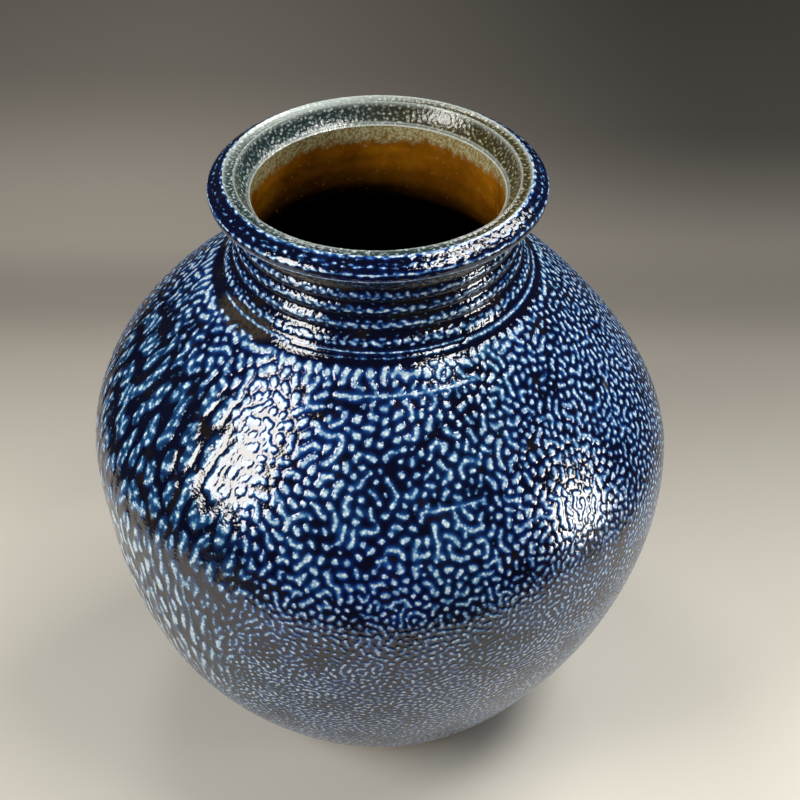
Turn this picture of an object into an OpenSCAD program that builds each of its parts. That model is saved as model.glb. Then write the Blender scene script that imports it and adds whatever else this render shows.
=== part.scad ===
// Thrown stoneware jar: globular body, ringed neck, rolled flange rim, salt
// glaze outside and a liner glaze inside. Millimetres, +Z up: the foot stands
// on Z = 0 and the wheel axis is Z. Every solid is a full turn about that axis.

/* [Body] */
// Largest diameter, glaze included
belly_d = 240; // [230:1:250]
// Height of the largest diameter above the surface it stands on
belly_z = 142.5; // [136:0.5:146]
// Thickness of the clay wall at the largest diameter
wall_t = 6; // [5:0.5:7]
// How far the wall stays full below the belly
lower_fullness = 72; // [60:1:80]
// How far the wall stays full above the belly
upper_fullness = 31.7; // [26:0.1:36]

/* [Foot] */
// Outer diameter of the foot ring
foot_d = 114; // [108:1:120]
// Height of the foot ring
foot_h = 6; // [5:0.5:8]
// Width of the foot ring's standing face
foot_w = 9; // [6:0.5:12]
// Thickness of the thrown floor
floor_t = 8; // [6:0.5:10]

/* [Neck] */
// Diameter at the groove where the neck meets the shoulder
groove_d = 128.4; // [124:0.2:132]
// Height of that groove
groove_z = 224.1; // [220:0.1:226]
// Outer diameter of the neck at its narrowest
neck_d = 109; // [108:0.5:113]
// Height of the first throwing ring above the groove
ring_start = 5.9; // [4:0.1:8]
// Distance from one throwing ring to the next
ring_pitch = 6; // [5:0.1:8]
// How far the throwing rings stand out
ring_relief = 0.9; // [0:0.1:1.2]

/* [Rim] */
// Total height, foot to crest
height = 268; // [265:1:272]
// Outer diameter of the flange
flange_d = 130; // [126:0.5:134]
// Diameter of the crest, the highest line of the rim
crest_d = 117.6; // [115:0.2:120]
// Diameter of the gallery line, the inner edge of the flat top
gallery_d = 109; // [106:0.5:111]
// Depth of the gallery's slope, from crest to mouth
gallery_depth = 8.4; // [7:0.2:10]
// Clear diameter of the mouth and throat, liner glaze included
mouth_d = 97.8; // [94:0.2:99]
// Radius of the rounded edge of the flange
lip_round = 3.3; // [2.5:0.1:3.8]

/* [Glaze] */
// Thickness of the salt glaze outside
salt_t = 0.8; // [0.5:0.1:1]
// Thickness of the liner glaze inside
liner_t = 0.8; // [0.5:0.1:1]

/* [Hidden] */

foot_r = foot_d / 2;
belly_r = belly_d / 2;
groove_r = groove_d / 2;
neck_r = neck_d / 2;
flange_r = flange_d / 2;
crest_r = crest_d / 2;
gallery_r = gallery_d / 2;
mouth_r = mouth_d / 2;
throat_r = mouth_r + liner_t;
mouth_z = height - gallery_depth;
// Centre of the flange's rounded edge
lip_r = flange_r - lip_round;
lip_z = height - 5.6;
// Where the lip's round meets the face that slopes up to the crest, in degrees
lip_end = 52;
// Height at which the collar becomes the flange
collar_top_z = groove_z + 24;
// Height at which the straight throat begins
throat_z = collar_top_z - 12;
// Fall of the flat top from crest to gallery line, and depth of its cove
crest_drop = 0.4;
cove_depth = 0.8;
foot_bevel = 1.2;
// Where the wall springs from the foot ring, wider than the ring itself
spring = [foot_r + 5, foot_h];
// Directions of the shoulder and of the lower wall at their ends, and how
// strongly each pulls on its curve
shoulder_dir = [cos(38), -sin(38)];
shoulder_pull = 24.6;
spring_dir = [cos(48), sin(48)];
spring_pull = 32.5;
// Clay between the outer groove and the one inside, across and down
groove_wall = [5.7, 5.1];
// How far the thrown floor stops short of the wall's outer spring
floor_inset = 9;
// How the inside sweeps up from the edge of the floor, across and up
floor_sweep = [24, 12];
// Width of the foot recess beyond the standing face
recess_step = 2;
// Points on each stretch of the outline
wall_n = 28;
neck_n = 64;
under_n = 20;
lip_n = 10;
gallery_n = 8;

// --- curves, as lists of [radius, height] ---------------------------------

function bezier(a, b, c, d, n) = [
    for (i = [0:n]) let (t = i / n, u = 1 - t)
        u * u * u * a + 3 * u * u * t * b + 3 * u * t * t * c + t * t * t * d];
function slice(list, from, to) = [for (i = [from:to]) list[i]];
function tail(list) = slice(list, 1, len(list) - 1);
function reversed(list) = [for (i = [len(list) - 1:-1:0]) list[i]];
function unit(v) = v / norm(v);
// The curve moved by d to the left of its direction of travel
function shifted(list, d) = [
    for (i = [0:len(list) - 1])
        let (along = unit(list[min(i + 1, len(list) - 1)] - list[max(i - 1, 0)]))
        list[i] + d * [-along[1], along[0]]];

// Throwing rings: rounded ridges at an even pitch up the neck
function ring_fade(z) =
    min(1, max(0, (z - groove_z - 2) / 2)) * min(1, max(0, (collar_top_z + 4 - z) / 4));
function ring_height(z) =
    ring_relief * ring_fade(z)
    * (0.5 + 0.5 * cos(360 * (z - groove_z - ring_start) / ring_pitch));
function ringed(list) = [for (p = list) p + [ring_height(p[1]), 0]];

// Outer surface, foot to belly to groove
lower_line = bezier(spring, spring + spring_pull * spring_dir,
                    [belly_r, belly_z - lower_fullness], [belly_r, belly_z], wall_n);
upper_line = bezier([belly_r, belly_z], [belly_r, belly_z + upper_fullness],
                    [groove_r, groove_z] + shoulder_pull * shoulder_dir, [groove_r, groove_z],
                    wall_n);
// Neck, groove to the underside of the flange
neck_line = ringed(bezier([groove_r, groove_z], [neck_r + 1.5, groove_z + 7],
                          [neck_r, collar_top_z - 13], [neck_r, collar_top_z], neck_n));
// Flange: underside, rounded lip, sloping face up to the crest
under_line = ringed(bezier([neck_r, collar_top_z], [neck_r, collar_top_z + 6],
                           [lip_r - 5, lip_z - lip_round], [lip_r, lip_z - lip_round],
                           under_n));
lip_line = [for (i = [0:lip_n]) let (a = -90 + (90 + lip_end) * i / lip_n)
    [lip_r, lip_z] + lip_round * [cos(a), sin(a)]];
crest_line = [[crest_r + 0.7, height - 0.3], [crest_r, height]];
// Flat top with its shallow cove, then the slope down to the mouth
top_line = [for (i = [1:gallery_n]) let (t = i / gallery_n)
    [crest_r + (gallery_r - crest_r) * t,
     height - crest_drop * t - cove_depth * sin(180 * t)]];
slope_line = bezier([gallery_r, height - crest_drop], [gallery_r - 1.2, height - 4],
                    [mouth_r + 3, mouth_z + 2.5], [mouth_r, mouth_z], gallery_n);

skirt_line = concat(lower_line, tail(upper_line), tail(neck_line), tail(under_line),
                    tail(lip_line), crest_line);
gallery_line = concat([[crest_r, height]], top_line, tail(slope_line));

belly_i = wall_n;
groove_i = belly_i + wall_n;
collar_i = groove_i + neck_n;
crest_i = collar_i + under_n + lip_n + 2;
mouth_i = 2 * gallery_n;

// Clay under the glaze. Under the gallery the step inwards turns from straight
// down at the crest to straight outwards at the mouth.
skirt_clay = concat(slice(shifted(skirt_line, salt_t), 0, crest_i - 1),
                    [[crest_r, height - salt_t]]);
gallery_clay = [for (i = [0:mouth_i]) let (a = 90 * i / mouth_i)
    gallery_line[i] + [liner_t * sin(a), -salt_t * cos(a)]];

// Inner clay surface, from the middle of the floor up to the mouth
floor_z = foot_h + floor_t;
floor_r = spring[0] - floor_inset;
inner_belly_r = belly_r - salt_t - wall_t;
inner_groove = [groove_r, groove_z] - groove_wall;
cavity_low = bezier([floor_r, floor_z], [floor_r, floor_z] + floor_sweep,
                    [inner_belly_r, belly_z - lower_fullness + 6],
                    [inner_belly_r, belly_z], wall_n);
cavity_high = bezier([inner_belly_r, belly_z], [inner_belly_r, belly_z + upper_fullness - 3],
                     inner_groove + 22 * shoulder_dir, inner_groove, wall_n);
throat_line = bezier(inner_groove, inner_groove - 7 * shoulder_dir,
                     [throat_r, throat_z - 7], [throat_r, throat_z], gallery_n);
inner_line = concat([[0, floor_z]], cavity_low, tail(cavity_high), tail(throat_line),
                    [[throat_r, collar_top_z], [throat_r, mouth_z]]);
in_belly_i = 1 + wall_n;
in_groove_i = in_belly_i + wall_n;
in_throat_i = in_groove_i + gallery_n;
in_collar_i = in_throat_i + 1;
// Glaze surface inside; the throat is a true cylinder up to the mouth
liner_line = concat([[0, floor_z + liner_t]],
                    slice(shifted(inner_line, liner_t), 1, in_throat_i - 1),
                    [[mouth_r, throat_z], [mouth_r, mouth_z]]);

// --- solids ----------------------------------------------------------------

module turned(outline) {
    rotate_extrude($fn = 96) polygon(outline);
}

// A wall between two stretches of the skirt's clay and of the inner surface
module clay_wall(from, to, in_from, in_to) {
    turned(concat(slice(skirt_clay, from, to), reversed(slice(inner_line, in_from, in_to))));
}

// A coat of glaze on a stretch of the skirt's clay
module coat(from, to) {
    turned(concat(slice(skirt_line, from, to), reversed(slice(skirt_clay, from, to))));
}

module foot_ring() {
    color("tan") turned([
        [foot_r - foot_w, 0], [foot_r - foot_bevel, 0], [foot_r, foot_bevel],
        [foot_r, foot_h - foot_bevel], skirt_clay[0],
        [foot_r - foot_w - recess_step, foot_h], [foot_r - foot_w, foot_bevel]]);
}

module base_pad() {
    color("peru") turned([
        [0, foot_h], [foot_r - foot_w - recess_step, foot_h], skirt_clay[0],
        [floor_r, floor_z], [0, floor_z]]);
}

module lower_wall() {
    color("peru") clay_wall(0, belly_i, 1, in_belly_i);
}

module shoulder_wall() {
    color("peru") clay_wall(belly_i, groove_i, in_belly_i, in_groove_i);
}

module neck_collar() {
    color("peru") clay_wall(groove_i, collar_i, in_groove_i, in_collar_i);
}

module rim_ring() {
    color("peru") turned(concat(slice(skirt_clay, collar_i, crest_i), tail(gallery_clay),
                                [[throat_r, collar_top_z]]));
}

module body_glaze() {
    color("midnightblue") coat(0, groove_i);
}

module neck_glaze() {
    color("navy") coat(groove_i, collar_i);
}

module rim_glaze() {
    color("royalblue") coat(collar_i, crest_i);
}

module gallery_glaze() {
    color("darkseagreen") turned(concat(gallery_line, reversed(gallery_clay)));
}

module liner_glaze() {
    color("darkgoldenrod") turned(concat(inner_line, reversed(liner_line)));
}

foot_ring();
base_pad();
lower_wall();
shoulder_wall();
neck_collar();
rim_ring();
body_glaze();
neck_glaze();
rim_glaze();
gallery_glaze();
liner_glaze();
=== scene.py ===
import math

import bpy
import numpy as np
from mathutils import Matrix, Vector


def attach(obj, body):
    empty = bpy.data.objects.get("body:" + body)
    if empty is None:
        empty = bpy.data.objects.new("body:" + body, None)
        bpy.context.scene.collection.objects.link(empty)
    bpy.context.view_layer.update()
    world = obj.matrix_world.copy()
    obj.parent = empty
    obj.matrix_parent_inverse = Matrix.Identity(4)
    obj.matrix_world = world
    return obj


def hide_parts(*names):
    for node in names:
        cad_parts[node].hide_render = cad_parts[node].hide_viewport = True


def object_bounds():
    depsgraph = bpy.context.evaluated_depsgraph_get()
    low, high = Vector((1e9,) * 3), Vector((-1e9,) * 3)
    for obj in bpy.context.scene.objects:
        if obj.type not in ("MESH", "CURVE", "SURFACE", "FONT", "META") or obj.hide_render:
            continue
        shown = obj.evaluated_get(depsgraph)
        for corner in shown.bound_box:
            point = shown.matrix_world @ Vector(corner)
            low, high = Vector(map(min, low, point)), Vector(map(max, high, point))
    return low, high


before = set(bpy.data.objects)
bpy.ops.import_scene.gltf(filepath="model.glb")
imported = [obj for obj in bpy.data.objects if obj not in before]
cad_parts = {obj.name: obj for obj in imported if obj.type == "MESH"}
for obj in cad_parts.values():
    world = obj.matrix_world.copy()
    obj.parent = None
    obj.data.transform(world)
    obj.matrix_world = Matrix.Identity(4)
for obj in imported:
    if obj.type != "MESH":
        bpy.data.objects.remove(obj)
cad_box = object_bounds()

MM = 0.001

# Spacing of the rows of a coat's grid in mm, and columns around the axis
STEP = 0.5
COLS = 1400
# The liner is smooth, so its grid is coarser by these
LINER_STEP, LINER_COLS = 1.6, 2


# ---------------------------------------------------------------------------
# Outline of the pot in millimetres: the CAD part's curves, under its names
# ---------------------------------------------------------------------------

BELLY_R, BELLY_Z = 120.0, 142.5
LOWER_FULLNESS, UPPER_FULLNESS = 72.0, 31.7
FOOT_R, FOOT_H, FLOOR_T = 57.0, 6.0, 8.0
GROOVE_R, GROOVE_Z = 64.2, 224.1
NECK_R, COLLAR_Z = 54.5, 248.1
RING_START, RING_PITCH, RING_RELIEF = 5.9, 6.0, 0.9
HEIGHT, FLANGE_R, CREST_R, GALLERY_R = 268.0, 65.0, 58.8, 54.5
CREST_DROP, COVE_DEPTH = 0.4, 0.8
MOUTH_R, MOUTH_Z = 48.9, 259.6
LIP_ROUND, LIP_Z, LIP_END = 3.3, 262.4, 52
GLAZE_T, WALL_T = 0.8, 6.0
THROAT_Z = COLLAR_Z - 12.0
SPRING_R = FOOT_R + 5
FLOOR_INSET, FLOOR_SWEEP = 9, (24, 12)
GROOVE_WALL = (5.7, 5.1)
SPRING_PULL, SHOULDER_PULL, INNER_SHOULDER_PULL = 32.5, 24.6, 22
CURVE_POINTS, LIP_POINTS, TOP_POINTS = 3000, 300, 200


def direction(degrees):
    return np.array([math.cos(math.radians(degrees)), math.sin(math.radians(degrees))])


SPRING_DIR, SHOULDER_DIR = direction(48), direction(-38)


def bezier(a, b, c, d):
    t = np.linspace(0.0, 1.0, CURVE_POINTS)[:, None]
    a, b, c, d = (np.array(p, float) for p in (a, b, c, d))
    return (1 - t) ** 3 * a + 3 * (1 - t) ** 2 * t * b + 3 * (1 - t) * t * t * c + t ** 3 * d


def ringed(line):
    """The throwing rings up the neck, as the CAD outline has them."""
    z = line[:, 1]
    fade = np.clip((z - GROOVE_Z - 2) / 2, 0, 1) * np.clip((COLLAR_Z + 4 - z) / 4, 0, 1)
    wave = 0.5 + 0.5 * np.cos(2 * np.pi * (z - GROOVE_Z - RING_START) / RING_PITCH)
    line = line.copy()
    line[:, 0] += RING_RELIEF * fade * wave
    return line


def outline():
    """Body, neck, rim and gallery stretches, from the foot up and over the rim."""
    spring = np.array([SPRING_R, FOOT_H])
    groove = np.array([GROOVE_R, GROOVE_Z])
    lower = bezier(spring, spring + SPRING_PULL * SPRING_DIR,
                   [BELLY_R, BELLY_Z - LOWER_FULLNESS], [BELLY_R, BELLY_Z])
    upper = bezier([BELLY_R, BELLY_Z], [BELLY_R, BELLY_Z + UPPER_FULLNESS],
                   groove + SHOULDER_PULL * SHOULDER_DIR, groove)
    neck = ringed(bezier(groove, [NECK_R + 1.5, GROOVE_Z + 7],
                         [NECK_R, COLLAR_Z - 13], [NECK_R, COLLAR_Z]))
    lip_r = FLANGE_R - LIP_ROUND
    under = ringed(bezier([NECK_R, COLLAR_Z], [NECK_R, COLLAR_Z + 6],
                          [lip_r - 5, LIP_Z - LIP_ROUND], [lip_r, LIP_Z - LIP_ROUND]))
    turn = np.radians(np.linspace(-90, LIP_END, LIP_POINTS))
    lip = np.stack([lip_r + LIP_ROUND * np.cos(turn), LIP_Z + LIP_ROUND * np.sin(turn)], 1)
    crest = np.array([[CREST_R + 0.7, HEIGHT - 0.3], [CREST_R, HEIGHT]])
    t = np.linspace(0, 1, TOP_POINTS)
    top = np.stack([CREST_R + (GALLERY_R - CREST_R) * t,
                    HEIGHT - CREST_DROP * t - COVE_DEPTH * np.sin(np.pi * t)], 1)
    slope = bezier([GALLERY_R, HEIGHT - CREST_DROP], [GALLERY_R - 1.2, HEIGHT - 4],
                   [MOUTH_R + 3, MOUTH_Z + 2.5], [MOUTH_R, MOUTH_Z])
    return (np.vstack([lower, upper[1:]]), neck, np.vstack([under, lip[1:], crest]),
            np.vstack([top, slope[1:]]))


def liner_outline():
    """Inside surface of the liner glaze, from the mouth down to the middle of the floor."""
    floor_r, floor_z = SPRING_R - FLOOR_INSET, FOOT_H + FLOOR_T + GLAZE_T
    inner_r = BELLY_R - GLAZE_T - WALL_T - GLAZE_T
    groove = np.array([GROOVE_R - GROOVE_WALL[0], GROOVE_Z - GROOVE_WALL[1]])
    groove = groove - [GLAZE_T * 0.6, GLAZE_T * 0.8]
    low = bezier([floor_r, floor_z], [floor_r + FLOOR_SWEEP[0], floor_z + FLOOR_SWEEP[1]],
                 [inner_r, BELLY_Z - LOWER_FULLNESS + 6], [inner_r, BELLY_Z])
    high = bezier([inner_r, BELLY_Z], [inner_r, BELLY_Z + UPPER_FULLNESS - 3],
                  groove + INNER_SHOULDER_PULL * SHOULDER_DIR, groove)
    throat = bezier(groove, groove - 7 * SHOULDER_DIR, [MOUTH_R, THROAT_Z - 7],
                    [MOUTH_R, THROAT_Z])
    up = np.vstack([[[0.5, floor_z]], low, high[1:], throat[1:], [[MOUTH_R, MOUTH_Z]]])
    return up[::-1]


def resampled(line, step):
    """The line at even steps, with the distance run at each point."""
    run = np.concatenate([[0], np.cumsum(np.hypot(*np.diff(line, axis=0).T))])
    n = max(2, int(round(run[-1] / step)) + 1)
    s = np.linspace(0, run[-1], n)
    return np.stack([np.interp(s, run, line[:, 0]), np.interp(s, run, line[:, 1])], 1), s


# ---------------------------------------------------------------------------
# Shapes of change
# ---------------------------------------------------------------------------

def smoothstep(lo, hi, x):
    """Rises from 0 at lo to 1 at hi, or falls, where hi is the lower."""
    t = np.clip((x - lo) / (hi - lo), 0, 1)
    return t * t * (3 - 2 * t)


def bump(x, middle, width):
    return np.exp(-0.5 * ((x - middle) / width) ** 2)


def angle_from(theta, middle):
    """Signed difference of two directions in degrees, wrapped to the half turn."""
    return (theta - middle + 180.0) % 360.0 - 180.0


def scaled(h, low, high, where):
    """h with its low and high quantiles, read where the mask is, set to 0 and 1."""
    picked = h[where > 0.5][::5]
    a, b = np.quantile(picked, (low, high))
    return (h - a) / (b - a)


def pitch_weights(pitch, levels):
    """Hat weights that share a pitch map between a few fixed pitches."""
    logs = np.log(levels)
    x = np.clip(np.log(pitch), logs[0], logs[-1])
    weights = []
    for i, c in enumerate(logs):
        lo = logs[i - 1] if i else c - 1
        hi = logs[i + 1] if i + 1 < len(logs) else c + 1
        weights.append(np.clip(np.minimum((x - lo) / (c - lo), (hi - x) / (hi - c)), 0, 1))
    return weights


# ---------------------------------------------------------------------------
# A skin: a grid around the axis and along an outline, with fields on it
# ---------------------------------------------------------------------------

class Skin:
    # The least radius that a blur reckons with, in mm: the liner runs to the axis
    LEAST_R = 2.0
    # Detail of one pitch is what a blur of pitch / PITCH_PER_BLUR keeps and one
    # WIDER times as wide doesn't
    PITCH_PER_BLUR, WIDER = 5.6, 1.7
    # How often, and how hard, noise is sharpened into beads and chains
    ROUNDS, GAIN = 4, 1.8

    def __init__(self, lines, step, cols):
        """marks holds the first row of each line, and the last row of the last one."""
        points, runs, self.marks = [], [], [0]
        start = 0.0
        for line in lines:
            p, s = resampled(line, step)
            if points:
                p, s = p[1:], s[1:]
            points.append(p)
            runs.append(s + start)
            start = runs[-1][-1]
            self.marks.append(self.marks[-1] + len(p) - (1 if len(points) == 1 else 0))
        self.line = np.vstack(points)
        self.run = np.concatenate(runs)
        self.step, self.cols, self.rows = step, cols, len(self.line)
        self.r, self.z = self.line[:, 0], self.line[:, 1]
        along = np.gradient(self.line, axis=0)
        along /= np.linalg.norm(along, axis=1)[:, None]
        self.normal = np.stack([along[:, 1], -along[:, 0]], 1)
        self.theta = np.arange(cols) * 360.0 / cols
        self.R = np.maximum(self.r, self.LEAST_R)[:, None]
        self.T, self.Z = np.meshgrid(self.theta, self.z)

    def blurred(self, field, around, along, slant=0.0):
        """Gaussian blur, lengths in mm; slant leans it off the meridian."""
        f = np.fft.rfft(field, axis=1)
        k = np.arange(f.shape[1])[None, :]
        f *= np.exp(-0.5 * (k * around / self.R) ** 2)
        if slant:
            mid = 0.5 * (self.R[1:, 0] + self.R[:-1, 0])
            shift = np.concatenate([[0], np.cumsum(np.diff(self.run) * slant / mid)])
            phase = np.exp(1j * k * shift[:, None])
            f *= phase
        pad = min(self.rows - 2, int(4 * along / self.step) + 2)
        g = np.pad(f, ((pad, pad), (0, 0)), mode="reflect")
        q = 2 * np.pi * np.fft.fftfreq(g.shape[0], self.step)
        g = np.fft.ifft(np.fft.fft(g, axis=0) * np.exp(-0.5 * (q * along) ** 2)[:, None], axis=0)
        f = g[pad:-pad]
        if slant:
            f = f * np.conj(phase)
        return np.fft.irfft(f, n=self.cols, axis=1)

    def band(self, field, pitch, stretch=1.0, slant=0.0):
        """Detail of one pitch only, drawn out along the outline by stretch."""
        a = pitch / self.PITCH_PER_BLUR
        wide = self.WIDER * a
        h = (self.blurred(field, a, a * stretch, slant)
             - self.blurred(field, wide, wide * stretch, slant))
        return h / h.std()

    def raw(self, rng):
        return rng.standard_normal((self.rows, self.cols))

    def noise(self, rng, pitch):
        return self.band(self.raw(rng), pitch)

    def cloud(self, rng, size):
        """Soft patches, from about -1 to 1."""
        f = self.blurred(self.raw(rng), size, size)
        return f / (2 * f.std())

    def worms(self, rng, kernels, bias):
        """Lets noise settle into beads and short winding chains of an even width.
        kernels: list of (weight, pitch, stretch, slant)."""
        def mixed(u):
            return sum(w * self.band(u, p, st, sl) for w, p, st, sl in kernels)

        u = self.raw(rng)
        for _ in range(self.ROUNDS):
            u = np.tanh(self.GAIN * (mixed(u) - bias))
        return mixed(u)


# ---------------------------------------------------------------------------
# Meshes
# ---------------------------------------------------------------------------

def linked(name, data):
    obj = bpy.data.objects.new(name, data)
    bpy.context.scene.collection.objects.link(obj)
    return obj


def grid_mesh(name, points, sharp_rows, fields, uv):
    """A mesh from a grid of points [rows, cols, 3] in mm, closed around the axis and
    from the last row back to the first. fields: name -> [rows, cols]."""
    rows, cols = points.shape[:2]
    verts = (points * MM).reshape(-1, 3).astype(np.float32)
    i = np.arange(rows)[:, None]
    j = np.arange(cols)[None, :]
    i2, j2 = (i + 1) % rows, (j + 1) % cols
    faces = np.stack([i * cols + j, i * cols + j2, i2 * cols + j2, i2 * cols + j], -1)
    faces = faces.reshape(-1, 4).astype(np.int32)
    mesh = bpy.data.meshes.new(name)
    mesh.vertices.add(len(verts))
    mesh.vertices.foreach_set("co", verts.ravel())
    mesh.loops.add(faces.size)
    mesh.loops.foreach_set("vertex_index", faces.ravel())
    mesh.polygons.add(len(faces))
    mesh.polygons.foreach_set("loop_start", np.arange(0, faces.size, 4, dtype=np.int32))
    mesh.polygons.foreach_set("loop_total", np.full(len(faces), 4, np.int32))
    mesh.update(calc_edges=True)
    mesh.polygons.foreach_set("use_smooth", np.ones(len(faces), bool))
    ends = np.zeros(len(mesh.edges) * 2, np.int32)
    mesh.edges.foreach_get("vertices", ends)
    ends = ends.reshape(-1, 2) // cols
    sharp = (ends[:, 0] == ends[:, 1]) & np.isin(ends[:, 0], sharp_rows)
    mesh.edges.foreach_set("use_edge_sharp", sharp)
    for key, values in fields.items():
        layer = mesh.attributes.new(key, "FLOAT", "POINT")
        layer.data.foreach_set("value", values.astype(np.float32).ravel())
    layer = mesh.uv_layers.new(name="OFBake")
    layer.data.foreach_set("uv", uv(i, j, rows, cols).astype(np.float32).ravel())
    mesh.update()
    return linked(name, mesh)


def strip_uv(dense_rows, strips):
    """Unwraps the dense rows around the axis in a few strips, one above the other,
    and keeps the hidden rows in a thin band at the bottom."""
    gap = 0.008
    hidden, hidden_from, hidden_tall = 0.02, 0.002, 0.014

    def place(i, j, rows, cols):
        per = cols / strips
        strip = np.minimum((j / per).astype(int), strips - 1)
        u0 = gap + (1 - 2 * gap) * (j - strip * per) / per
        u1 = gap + (1 - 2 * gap) * (j + 1 - strip * per) / per
        tall = (1 - hidden) / strips
        base = hidden + strip * tall + gap
        inside = i < dense_rows - 1
        step = 1 / max(rows - dense_rows + 1, 1)
        back = (i - dense_rows + 1) / max(rows - dense_rows + 1, 1)

        def height(row, behind):
            share = np.where(inside, row / (dense_rows - 1), 0)
            return np.where(inside, base + share * (tall - 2 * gap),
                            hidden_from + hidden_tall * behind + 0 * base)

        va, vb = height(i, back), height(i + 1, back + step)
        u0, u1 = u0 + 0 * va, u1 + 0 * va
        return np.stack([np.stack([u0, va], -1), np.stack([u1, va], -1),
                         np.stack([u1, vb], -1), np.stack([u0, vb], -1)], -2)
    return place


def spun(line, cols):
    """Points of an outline turned about the axis."""
    a = np.radians(np.arange(cols) * 360.0 / cols)
    r, z = line[:, :1], line[:, 1:]
    return np.stack([r * np.cos(a), r * np.sin(a), z + 0 * a], -1)


# The slight wander of a hand-thrown wall off its axis: how far to the side,
# at what height, and over what spread of heights, in mm
SWAY = ((-3.3, 190, 22), (1.0, 125, 18), (-2.3, 52, 24))


def swayed(points):
    z = points[..., 2]
    out = points.copy()
    out[..., 0] += sum(shift * bump(z, level, spread) for shift, level, spread in SWAY)
    return out


def coat(name, skin, first, last, relief, fields, node, strips=2, back_every=14):
    """One coat of glaze: its outer face is the skin from row first to row last,
    and its back, with a row for every back_every in front, lies on the clay."""
    rows = slice(first, last + 1)
    line, normal = skin.line[rows], skin.normal[rows]
    a = np.radians(skin.theta)
    r = line[:, :1] + normal[:, :1] * relief[rows]
    z = line[:, 1:] + normal[:, 1:] * relief[rows]
    front = np.stack([r * np.cos(a), r * np.sin(a), z], -1)
    pick = np.unique(np.append(np.arange(0, len(line), back_every), len(line) - 1))[::-1]
    back = spun(line[pick] - GLAZE_T * normal[pick], skin.cols)
    points = swayed(np.concatenate([front, back]))
    n = len(line)
    kept = {}
    for key, field in fields.items():
        field = np.broadcast_to(field, (skin.rows, skin.cols))[rows]
        kept[key] = np.concatenate([field, np.repeat(field[-1:], len(pick), 0)])
    corners = [0, n - 1, n, len(points) - 1]
    obj = grid_mesh(name, points, corners, kept, strip_uv(n, strips))
    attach(obj, "root")
    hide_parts(node)
    return obj


# ---------------------------------------------------------------------------
# Node materials. Scales of noise and cells are per metre, colours are linear.
# ---------------------------------------------------------------------------

class Nodes:
    """A short way to write node trees."""

    def __init__(self, name):
        self.material = bpy.data.materials.new(name)
        self.material.use_nodes = True
        self.tree = self.material.node_tree
        self.tree.nodes.clear()
        self.out = self.add("ShaderNodeOutputMaterial")
        self.shader = self.add("ShaderNodeBsdfPrincipled")
        self.tree.links.new(self.shader.outputs[0], self.out.inputs[0])
        self.coords = self.add("ShaderNodeTexCoord").outputs["Object"]

    def add(self, kind, **props):
        node = self.tree.nodes.new(kind)
        for key, value in props.items():
            setattr(node, key, value)
        return node

    def put(self, socket, value):
        if isinstance(value, bpy.types.NodeSocket):
            self.tree.links.new(value, socket)
        else:
            socket.default_value = value

    def field(self, name):
        return self.add("ShaderNodeAttribute", attribute_name=name).outputs["Fac"]

    def noise(self, scale, detail=2.0, rough=0.5):
        node = self.add("ShaderNodeTexNoise")
        node.inputs["Scale"].default_value = scale
        node.inputs["Detail"].default_value = detail
        node.inputs["Roughness"].default_value = rough
        self.put(node.inputs["Vector"], self.coords)
        return node.outputs["Fac"]

    def cells(self, scale):
        node = self.add("ShaderNodeTexVoronoi", feature="F1")
        node.inputs["Scale"].default_value = scale
        self.put(node.inputs["Vector"], self.coords)
        return node.outputs["Distance"]

    def math(self, op, a, b=0.0, c=0.0):
        node = self.add("ShaderNodeMath", operation=op)
        for socket, value in zip(node.inputs, (a, b, c)):
            self.put(socket, value)
        return node.outputs[0]

    def around(self, value, middle, gain, onto):
        """Adds gain times the value's difference from its middle."""
        return self.math("MULTIPLY_ADD", self.math("SUBTRACT", value, middle), gain, onto)

    def ramp(self, value, lo, hi):
        node = self.add("ShaderNodeMapRange", interpolation_type="SMOOTHSTEP")
        for key, v in (("Value", value), ("From Min", lo), ("From Max", hi)):
            self.put(node.inputs[key], v)
        return node.outputs[0]

    def mix(self, factor, a, b):
        node = self.add("ShaderNodeMix", data_type="RGBA")
        self.put(node.inputs[0], factor)
        for socket, value in ((node.inputs[6], a), (node.inputs[7], b)):
            self.put(socket, value if isinstance(value, bpy.types.NodeSocket) else (*value, 1.0))
        return node.outputs[2]

    def bump(self, height, distance, strength):
        node = self.add("ShaderNodeBump")
        node.inputs["Strength"].default_value = strength
        node.inputs["Distance"].default_value = distance
        self.put(node.inputs["Height"], height)
        return node.outputs[0]

    def finish(self, color, roughness, ior, normal=None):
        self.put(self.shader.inputs["Base Color"], color)
        self.put(self.shader.inputs["Roughness"], roughness)
        self.shader.inputs["IOR"].default_value = ior
        if normal is not None:
            self.put(self.shader.inputs["Normal"], normal)
        return self.material


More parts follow.
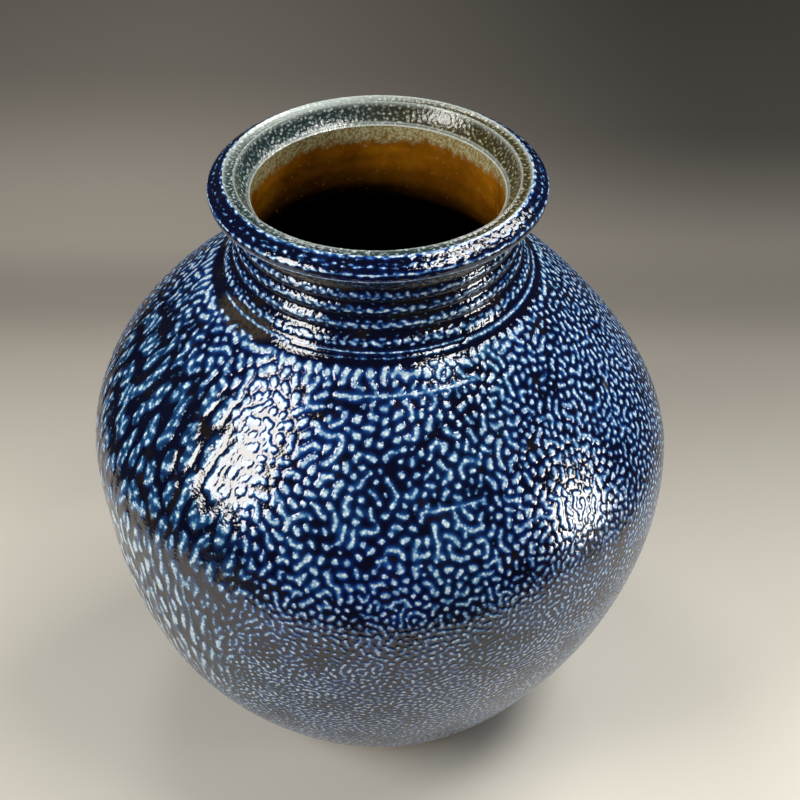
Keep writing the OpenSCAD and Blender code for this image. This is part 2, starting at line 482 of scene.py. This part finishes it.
def salt_glaze_material():
    """Cobalt salt glaze: strings of tiny pale beads with blue halos, and near-black valleys."""
    n = Nodes("cobalt_salt_glaze")
    fine = n.noise(1500.0, 2.0, 0.6)
    drops = n.math("SUBTRACT", 0.42, n.cells(760.0))
    patches = n.noise(70.0, 3.0, 0.6)
    glow = n.around(n.noise(300.0), 0.5, 0.35, n.field("glow"))
    bead = n.math("MULTIPLY_ADD", drops, 0.85, n.field("bead"))
    bead = n.around(fine, 0.5, 0.55, bead)
    teal = n.field("teal")
    dark = n.mix(n.ramp(patches, 0.52, 0.68), (0.0014, 0.0022, 0.0120), (0.0085, 0.0062, 0.0064))
    deep = n.mix(teal, (0.0016, 0.0075, 0.0740), (0.0028, 0.0140, 0.0580))
    halo = n.mix(teal, (0.0070, 0.0500, 0.2500), (0.0110, 0.0680, 0.1900))
    middle = n.mix(teal, (0.0450, 0.1600, 0.4000), (0.0520, 0.1800, 0.3400))
    pale = n.mix(n.ramp(drops, -0.2, 0.3), (0.38, 0.53, 0.62), (0.74, 0.81, 0.83))
    skin = n.mix(n.ramp(n.noise(500.0, 3.0), 0.3, 0.7), (0.060, 0.048, 0.032),
                 (0.020, 0.017, 0.015))
    color = n.mix(n.ramp(glow, 0.14, 0.52), dark, deep)
    color = n.mix(n.ramp(glow, 0.38, 0.98), color, halo)
    color = n.mix(n.ramp(bead, -0.10, 0.55), color, middle)
    color = n.mix(n.ramp(bead, 0.22, 1.02), color, pale)
    color = n.mix(n.field("bare"), color, skin)
    rough = n.math("MULTIPLY_ADD", fine, 0.06, 0.02)
    micro = n.bump(n.math("ADD", drops, n.math("MULTIPLY", fine, 0.5)), 0.00010, 0.6)
    return n.finish(color, rough, 1.62, micro)


def gallery_material():
    """Grey-green glaze with pale specks, warmer to the right, pale on its edges where the glaze
    is thin, with a painted highlight on the crest at the back left.
    """
    n = Nodes("speckled_gallery_glaze")
    fine = n.noise(1000.0, 3.0, 0.65)
    drops = n.math("SUBTRACT", 0.42, n.cells(700.0))
    beads = n.math("MULTIPLY", n.field("bead"), 0.35)
    speck = n.around(fine, 0.5, 1.3, n.math("ADD", drops, beads))
    warm = n.field("warm")
    ground = n.mix(warm, (0.014, 0.030, 0.034), (0.030, 0.025, 0.009))
    pale = n.mix(warm, (0.45, 0.53, 0.50), (0.33, 0.31, 0.20))
    color = n.mix(n.ramp(speck, -0.10, 0.75), ground, pale)
    # Pale where the glaze thins on the edges, and a painted highlight on the crest at the back
    # left
    color = n.mix(n.field("edge"), color, (0.54, 0.60, 0.57))
    rough = n.math("MULTIPLY_ADD", fine, 0.10, 0.06)
    micro = n.bump(n.math("ADD", drops, fine), 0.00012, 0.8)
    return n.finish(color, rough, 1.52, micro)


def liner_material():
    """Amber glaze with pale pinholes and a speckled upper band, painted near black down inside
    the jar: partly a darker glaze, partly painted shade.
    """
    n = Nodes("amber_liner_glaze")
    fine = n.noise(900.0, 3.0, 0.6)
    streak = n.noise(60.0, 3.0, 0.55)
    pinholes = n.math("MULTIPLY", n.ramp(n.cells(260.0), 0.16, 0.08), 0.3)
    amber = n.mix(n.ramp(streak, 0.3, 0.7), (0.130, 0.043, 0.0012), (0.250, 0.092, 0.0035))
    band = n.mix(n.ramp(fine, 0.38, 0.62), (0.175, 0.125, 0.034), (0.370, 0.335, 0.195))
    # Painted shade, partly a darker glaze: the amber turns near black down inside the jar
    color = n.mix(n.field("depth"), amber, (0.004, 0.002, 0.001))
    color = n.mix(pinholes, color, (0.40, 0.22, 0.06))
    color = n.mix(n.field("band"), color, band)
    rough = n.math("MULTIPLY_ADD", fine, 0.12, 0.10)
    micro = n.bump(n.noise(300.0, 3.0), 0.00015, 0.6)
    return n.finish(color, rough, 1.5, micro)


def clay_material():
    """Bare stoneware: warm brown, gritty, with iron specks."""
    n = Nodes("bare_stoneware")
    grit = n.noise(1400.0, 4.0, 0.7)
    tone = n.noise(45.0, 4.0, 0.6)
    grains = n.math("MULTIPLY", n.ramp(grit, 0.35, 0.65), 0.35)
    iron = n.ramp(n.cells(420.0), 0.16, 0.08)
    color = n.mix(tone, (0.150, 0.085, 0.045), (0.300, 0.190, 0.110))
    color = n.mix(grains, color, (0.36, 0.26, 0.17))
    color = n.mix(iron, color, (0.030, 0.020, 0.016))
    rough = n.math("MULTIPLY_ADD", grit, 0.25, 0.60)
    micro = n.bump(grit, 0.00025, 0.8)
    return n.finish(color, rough, 1.5, micro)


def floor_material():
    """Studio paper, pale where the pot stands, with painted shade: darker towards the back,
    most to the far right, where the light falls off, and a painted shadow band behind the pot;
    dark past its edges in front and to the sides. Ramps along x and y are in metres."""
    n = Nodes("backdrop_painted_shade")
    split = n.add("ShaderNodeSeparateXYZ")
    n.put(split.inputs[0], n.coords)
    x, y = split.outputs["X"], split.outputs["Y"]
    pale = n.mix(n.noise(3.0, 3.0), (0.53, 0.504, 0.450), (0.57, 0.542, 0.488))
    # Painted shade: the far floor darker, most on the right, where the light falls off
    left = n.mix(n.ramp(y, 0.40, 0.62), (0.235, 0.215, 0.188), (0.135, 0.123, 0.107))
    right = n.mix(n.ramp(y, 0.24, 0.52), (0.190, 0.175, 0.153), (0.034, 0.030, 0.026))
    color = n.mix(n.ramp(y, -0.02, 0.30), pale, n.mix(n.ramp(x, -0.22, 0.26), left, right))
    # A painted shadow band across the floor behind the pot
    painted_shadow_band = n.math("MULTIPLY", n.ramp(y, 0.23, 0.295), n.ramp(y, 0.37, 0.305))
    color = n.mix(n.math("MULTIPLY", painted_shadow_band, 0.28), color, (0.03, 0.028, 0.025))
    ends = n.math("MAXIMUM", n.ramp(y, -0.22, -0.27), n.ramp(n.math("ABSOLUTE", x), 0.36, 0.42))
    color = n.mix(ends, color, (0.020, 0.019, 0.018))
    return n.finish(color, 0.62, 1.45)


# ---------------------------------------------------------------------------
# The glaze outside. Heights are in mm and directions in degrees, 0 to the right
# and -90 to the front. A pair is where a change starts and where it is complete.
# ---------------------------------------------------------------------------

# The area of runs on the left: its middle and reach round the pot, and its ends
RUNS_MIDDLE, RUNS_REACH = -154.0, (46, 26)
RUNS_FOOT, RUNS_TOP = (62, 98), (215, 194)
# Where the runs lean over, and below what height they turn into long streaks
LEANING, STREAKS = (-146, -112), (165, 140)
# The finer beads on the right, and the finer strings under the belly
RIGHT_START, RIGHT_END = (-95, -45), (70, 10)
LOW = (135, 105)
# Pitch of the beads: at the belly, how much more on the shoulder, how much less
# on the right, and the few pitches that the beads are grown at
BEAD_PITCH, SHOULDER_MORE, RIGHT_LESS = 2.85, 1.15, 0.65
SHOULDER = (138, 178)
PITCHES = (2.5, 3.2, 4.1)
# Soft patches that the borders and the density of the beads follow, in mm
DRIFT_SIZE, POOL_SIZE = 14.0, 4.5
# How far the beads, and the islands of glaze in the runs, stand out in mm
BEAD_RELIEF, ISLAND_RELIEF, ISLAND_BEAD_RELIEF = 0.125, 0.26, 0.05
# The last of the throwing rings, counted from 0, and half the width of its beads
LAST_RING, RING_HALF = 3, 1.6
# Turned lines: height, direction, half their length in degrees, width in mm
TURNING_LINES = ((216.6, -79, 21, 0.38), (184.9, -73, 8, 0.45), (225.6, -92, 36, 0.32),
                 (227.1, -88, 32, 0.32), (226.6, -140, 20, 0.45), (226.2, -24, 34, 0.45),
                 (226.4, 95, 75, 0.45))
# Fuller and barer bands round the flange: weight, distance from the crest, width
RIM_BANDS = ((0.40, 4.2, 0.7), (-0.45, 6.0, 0.8), (-0.6, 9.2, 0.8))
# Bare spots: the brown patch in the neck groove, and the chip on the shoulder
PATCH_AT, PATCH_Z, CHIP_AT, CHIP_Z = -142, 226.0, -20, 190
# Where a highlight is painted pale onto the crest's top, at the back left
CREST_HIGHLIGHT_AT, CREST_HIGHLIGHT_SPREAD = 122, 26


class Zones:
    """Where each kind of glaze lies on the outside, as weights from 0 to 1."""

    def __init__(self, skin, rng):
        z = skin.Z
        angle = self.angle = angle_from(skin.T, 0.0)
        self.body_end, self.collar, self.crest, self.mouth = skin.run[skin.marks[1:5]]
        run = self.run = skin.run[:, None] + 0 * z
        self.to_neck = smoothstep(-1, 1, run - self.body_end)
        self.to_rim = smoothstep(-1, 1, run - self.collar - 3)
        self.top = smoothstep(-0.6, 0.6, run - self.crest - 0.8)
        self.body = 1 - self.to_neck
        self.neck = self.to_neck * (1 - self.to_rim)
        self.rim = self.to_rim * (1 - self.top)
        # Distance down the outer face of the rim from its crest
        self.lip = self.crest - run

        drift = self.drift = skin.cloud(rng, DRIFT_SIZE)
        self.pools = skin.cloud(rng, POOL_SIZE)
        around = angle_from(skin.T + 8 * drift, RUNS_MIDDLE)
        level = z + 8 * drift
        self.runs = self.body * (smoothstep(*RUNS_REACH, np.abs(around))
                                 * smoothstep(*RUNS_FOOT, level) * smoothstep(*RUNS_TOP, level))
        self.lean = smoothstep(*LEANING, angle)
        self.streaks = smoothstep(*STREAKS, z + 5 * drift) * self.runs * (1 - self.lean)
        self.low = smoothstep(*LOW, z + 5 * drift)
        self.right = smoothstep(*RIGHT_START, angle) * smoothstep(*RIGHT_END, angle)
        self.pitch = (BEAD_PITCH + SHOULDER_MORE * smoothstep(*SHOULDER, z + 6 * drift)
                      - RIGHT_LESS * self.right)
        self.coarse = smoothstep(2.9, 4.0, self.pitch) * self.body


def grown_beads(skin, zones, rng):
    """The beads everywhere, and the broad islands of glaze in the runs."""
    body, runs, lean, low = zones.body, zones.runs, zones.lean, zones.low
    plain = body * (1 - runs)
    # Weight, pitch in mm, stretch up the pot, slant
    kernels = [(plain * (1 - low) * w, p, 1.12, 0.0)
               for w, p in zip(pitch_weights(zones.pitch, PITCHES), PITCHES)]
    kernels += [(plain * low, 3.0, 0.70, 0.0),
                (runs * (1 - lean) - zones.streaks, 3.3, 1.7, 0.05),
                (zones.streaks, 4.6, 2.6, 0.03),
                (runs * lean, 3.3, 1.7, 0.5),
                (zones.neck, 3.3, 0.62, 0.0),
                (zones.rim, 3.8, 0.42, 0.0),
                (zones.top, 2.3, 0.9, 0.0)]
    beads = skin.worms(rng, kernels, 0.44 + 0.20 * zones.pools - 0.18 * low * body)
    islands = skin.worms(rng, [(1 - lean, 7.2, 2.2, 0.06), (lean, 6.0, 1.8, 0.5)], 0.55)
    return beads, scaled(islands, 0.23, 0.90, runs)


def ring_beads(skin, zones):
    """Rows of beads along the crests of the throwing rings."""
    rises = (skin.Z - GROOVE_Z - RING_START) / RING_PITCH
    off = (rises - np.clip(np.round(rises), 0, LAST_RING)) * RING_PITCH
    return (np.exp(-(off / RING_HALF) ** 2) * smoothstep(GROOVE_Z + 2, GROOVE_Z + 3.5, skin.Z)
            * (zones.run < zones.collar + 4))


def bead_height(skin, zones, beads, islands):
    """How full the glaze is: 0 in the valleys, about 1 on the beads and lines."""
    z, run, lip, body, runs, rim = skin.Z, zones.run, zones.lip, zones.body, zones.runs, zones.rim
    x = scaled(beads, 0.49, 0.97, body * (1 - runs))
    x = x - 0.25 * np.maximum(zones.pools, 0) * body
    isle = smoothstep(-0.10, 0.45, islands)
    x = x * (1 - runs) + runs * (0.58 * x + 0.55 * isle + 0.40 * np.clip(islands, -0.5, 1) - 0.64)
    x = x + (0.10 * zones.low - 0.08) * body + 0.25 * zones.streaks
    x = x * (1 - 0.15 * rim) - rim * (0.36 + 0.25 * smoothstep(-125, -150, zones.angle))

    x = x + zones.neck * (1.22 * ring_beads(skin, zones) - 0.88 - 0.06 * x)
    groove = np.exp(-((run - zones.body_end - 0.5) / 0.8) ** 2)
    first_row = np.exp(-((z - 222.0) / 1.1) ** 2) * body
    x = x - 1.6 * groove
    x = x + 0.45 * first_row
    for level, middle, half, width in TURNING_LINES:
        away = np.abs(angle_from(skin.T, middle))
        line = bump(z, level, width) * smoothstep(half + 2, half - 2, away)
        dip = bump(z, level, 1.6) * smoothstep(half + 4, half - 2, away)
        x = x - 0.5 * dip * (1 - zones.to_rim)
        x = x + line * (1 - zones.to_rim) * (0.80 + 0.15 * beads - x)

    x = x + rim * sum(weight * bump(lip, at, width) for weight, at, width in RIM_BANDS)
    # Painted highlight: a pale line along the lip's lower edge; the pale dashes above it are
    # partly glaze and partly a painted highlight
    x = x + rim * bump(lip, 10.5, 0.36) * (1.05 - x)
    x = x + rim * bump(lip, 7.5, 0.40) * (0.70 + 0.35 * beads - x)
    x = x + 0.9 * crest_line(lip) - 0.4 * rim * bump(lip, 2.2, 0.7)
    return x, isle


def crest_line(lip):
    return bump(lip, 0.3, 0.6)


def glow_field(skin, zones, x, isle):
    """The blue light about the beads, wider where they are coarse."""
    core = smoothstep(0.1, 0.5, x)
    glow = skin.blurred(core, 0.75, 0.75)
    wide = skin.blurred(core, 1.15, 1.15)
    glow = glow * (1 - zones.coarse) + wide * 1.12 * zones.coarse
    glow = glow / np.quantile(glow[::9, ::9], 0.96) * (1 - 0.30 * zones.low * zones.body)
    return glow * (1 - zones.runs) + zones.runs * (0.48 * isle + 0.34 * glow)


def relief_field(zones, x, islands):
    """How far the glaze stands out in mm, flat at the foot and at the mouth."""
    relief = BEAD_RELIEF * np.tanh(4.0 * x) * (0.7 + 0.3 * zones.coarse)
    ridges = (ISLAND_RELIEF * smoothstep(-0.35, 0.60, islands) - ISLAND_RELIEF / 2
              + ISLAND_BEAD_RELIEF * np.tanh(3.0 * x))
    relief = relief * (1 - zones.runs) + zones.runs * ridges
    relief = relief * (1 - 0.6 * crest_line(zones.lip)) * (1 - 0.6 * zones.top)
    return relief * (smoothstep(0, 1.5, zones.run) * smoothstep(0, 1.0, zones.mouth - zones.run))


def bare_field(skin, zones, x):
    """Where the glaze is thin: under the flange, in the neck groove, and at the chip."""
    z, drift, open_below = skin.Z, zones.drift, 1 - zones.to_rim
    under = smoothstep(249.0, 251.5, z) * (zones.run < zones.collar + 9) * zones.to_neck
    patch = (bump(angle_from(skin.T, PATCH_AT + 5 * drift), 0, 11)
             * bump(z, PATCH_Z + drift, 3.0) * open_below)
    chip = (bump(angle_from(skin.T, CHIP_AT), 0, 1.3) * bump(z, CHIP_Z, 2.4)
            * (0.8 + 0.5 * zones.pools))
    bare = 0.9 * under * smoothstep(0.05, 0.30, drift - 0.2 * x)
    bare = np.maximum(bare, smoothstep(0.35, 0.7, patch) * smoothstep(0.35, 0.0, x) * 0.9)
    return np.maximum(bare, smoothstep(0.35, 0.65, chip))


def edge_field(skin, zones):
    """The pale edges of crest, gallery line and mouth, where the glaze is thin, and a highlight
    painted pale onto the crest's top at the back left.
    """
    lip, run = zones.lip, zones.run
    # A highlight painted pale onto the crest's top at the back left
    painted_crest_highlight = (smoothstep(0.0, 1.2, -lip) * smoothstep(-4.2, -2.6, lip)
            * bump(angle_from(skin.T, CREST_HIGHLIGHT_AT), 0, CREST_HIGHLIGHT_SPREAD))
    edge = (0.7 * bump(lip, 0.2, 0.7) + 0.55 * painted_crest_highlight
            + 0.45 * bump(skin.r[:, None], GALLERY_R, 0.30) * (run > zones.crest)
            + 0.7 * bump(run, zones.mouth - 0.2, 0.35)
            + 0.35 * bump(run, zones.mouth - 1.5, 0.25))
    return np.clip(edge, 0, 1)


def outer_fields(skin):
    """Colour fields and relief of everything outside the mouth."""
    rng = np.random.default_rng(11)
    zones = Zones(skin, rng)
    beads, islands = grown_beads(skin, zones, rng)
    x, isle = bead_height(skin, zones, beads, islands)
    teal = (0.6 * zones.runs + 0.5 * smoothstep(0, 1, zones.drift) + 0.45 * zones.right
            + 0.4 * smoothstep(20, -40, angle_from(skin.T, -90)))
    warm = (smoothstep(-10, 70, -angle_from(skin.T, 60) + 60)
            * smoothstep(-75, -30, zones.angle))
    fields = {"glow": glow_field(skin, zones, x, isle), "bead": x,
              "bare": bare_field(skin, zones, x), "teal": np.clip(teal, 0, 1),
              "warm": warm, "edge": edge_field(skin, zones)}
    return fields, relief_field(zones, x, islands)


def build_outside(materials):
    skin = Skin(outline(), STEP, COLS)
    fields, relief = outer_fields(skin)
    body_end, collar, crest, mouth = skin.marks[1:5]
    outer = {k: fields[k] for k in ("glow", "bead", "bare", "teal")}
    inner = {k: fields[k] for k in ("bead", "warm", "edge")}
    body = coat("body_salt_glaze", skin, 0, body_end, relief, outer, "body_glaze")
    neck = coat("neck_salt_glaze", skin, body_end, collar, relief, outer, "neck_glaze",
                4, 2)
    rim = coat("rim_salt_glaze", skin, collar, crest, relief, outer, "rim_glaze",
               4, 2)
    top = coat("gallery_salt_glaze", skin, crest, mouth, relief, inner, "gallery_glaze",
               4, 2)
    for obj in (body, neck, rim):
        obj.data.materials.append(materials["salt"])
    top.data.materials.append(materials["gallery"])


# ---------------------------------------------------------------------------
# The liner glaze inside, and the clay
# ---------------------------------------------------------------------------

# Size of the orange peel and its patches, and pitch of the throwing rings inside
PEEL_SIZE, INNER_RING_PITCH = 5.0, 7.5
PEEL_RELIEF, INNER_RING_RELIEF = 0.05, 0.10
INNER_RINGS = (254, 246)
# The speckled band, below the mouth, and the heights over which the amber is painted dark: partly
# a darker glaze, partly painted shade inside the jar
BAND, DARK_GLAZE_AND_SHADE = (-8.5, -4.5), (250, 224)
# How much lower than the middle it stays amber on the right: painted shade that follows the light
# falling in from the left
SHADE_LOWER_ON_RIGHT = 7


def build_liner(material):
    rng = np.random.default_rng(23)
    skin = Skin([liner_outline()], STEP * LINER_STEP, COLS // LINER_COLS)
    z = skin.Z
    peel = skin.noise(rng, PEEL_SIZE)
    drift = skin.cloud(rng, PEEL_SIZE)
    rings = np.cos(2 * np.pi * skin.z / INNER_RING_PITCH)[:, None] * smoothstep(*INNER_RINGS, z)
    relief = PEEL_RELIEF * peel + INNER_RING_RELIEF * rings
    relief = relief * smoothstep(6, 20, skin.r[:, None]) * smoothstep(0, 3, MOUTH_Z - z)
    band = smoothstep(*BAND, z - MOUTH_Z + 2.0 * drift + 1.0 * peel)
    # Partly painted shade: dark below these heights, and lower on the right, where the light
    # falls in
    depth = smoothstep(*DARK_GLAZE_AND_SHADE, z + SHADE_LOWER_ON_RIGHT * np.cos(np.radians(skin.T)))
    obj = coat("amber_liner_glaze", skin, 0, skin.rows - 1, relief,
               {"band": band, "depth": depth}, "liner_glaze")
    obj.data.materials.append(material)


CLAY_NODES = ("foot_ring", "base_pad", "lower_wall", "shoulder_wall", "neck_collar",
              "rim_ring")


def build_clay(material):
    """The CAD's own clay solids with the wall's sway, in bare stoneware."""
    for node in CLAY_NODES:
        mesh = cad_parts[node].data.copy()
        co = np.zeros(len(mesh.vertices) * 3)
        mesh.vertices.foreach_get("co", co)
        mesh.vertices.foreach_set("co", (swayed(co.reshape(-1, 3) / MM) * MM).ravel())
        mesh.materials.clear()
        mesh.materials.append(material)
        mesh.update()
        obj = linked(node + "_clay", mesh)
        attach(obj, "root")
        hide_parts(node)


# ---------------------------------------------------------------------------
# Stage: floor, lights, camera, all in metres
# ---------------------------------------------------------------------------

FLOOR_HALF = 4.0
BELLY = (0.0, 0.0, BELLY_Z * MM)
FRONT_OF_FOOT = (0, -0.1, 0)
# Name, place, what it points at, width and height, watts
SOFTBOXES = (
    ("left_softbox", (-0.74, -0.46, 0.67), BELLY, (0.36, 0.66), 11.2),
    ("right_softbox", (0.93, -0.24, 0.20), BELLY, (0.26, 0.30), 4.2),
    ("upper_right_softbox", (0.41, -0.20, 1.00), BELLY, (0.33, 0.20), 3.8),
    ("back_left_softbox", (-0.21, 0.33, 0.92), BELLY, (0.22, 0.22), 1.7),
    ("back_softbox", (0.66, 0.46, 1.20), FRONT_OF_FOOT, (0.60, 0.60), 13.0),
)
SOFTBOX_COLOR = (1.0, 0.98, 0.94)
WORLD_COLOR, WORLD_STRENGTH = (1.0, 0.95, 0.88, 1), 0.034
CAMERA_PLACE, CAMERA_DOWN = (0.00835, -0.5228, 0.5773), 38.86
CAMERA_SENSOR, CAMERA_LENS = 36.0, 71.5


def floor(material):
    mesh = bpy.data.meshes.new("floor")
    half = FLOOR_HALF
    z = cad_box[0][2]
    mesh.from_pydata([(-half, -half, z), (half, -half, z), (half, half, z), (-half, half, z)],
                     [], [(0, 1, 2, 3)])
    mesh.materials.append(material)
    linked("floor", mesh)


def lights():
    world = bpy.data.worlds.new("studio")
    bpy.context.scene.world = world
    world.use_nodes = True
    background = world.node_tree.nodes["Background"]
    background.inputs["Color"].default_value = WORLD_COLOR
    background.inputs["Strength"].default_value = WORLD_STRENGTH
    for name, place, target, size, power in SOFTBOXES:
        light = bpy.data.lights.new(name, "AREA")
        light.shape = "RECTANGLE"
        light.size, light.size_y = size
        light.energy = power
        light.color = SOFTBOX_COLOR
        obj = linked(name, light)
        obj.location = place
        aim = Vector(target) - Vector(place)
        obj.rotation_euler = aim.to_track_quat("-Z", "Y").to_euler()


def camera():
    cam = bpy.data.cameras.new("camera")
    cam.sensor_width = CAMERA_SENSOR
    cam.lens = CAMERA_LENS
    obj = linked("camera", cam)
    obj.location = CAMERA_PLACE
    obj.rotation_euler = (math.radians(90 - CAMERA_DOWN), 0, 0)
    bpy.context.scene.camera = obj


camera()
lights()
bpy.context.scene.view_settings.view_transform = "Standard"
GLAZES = {"salt": salt_glaze_material(), "gallery": gallery_material()}
AMBER, CLAY = liner_material(), clay_material()
floor(floor_material())
build_outside(GLAZES)
build_liner(AMBER)
build_clay(CLAY)
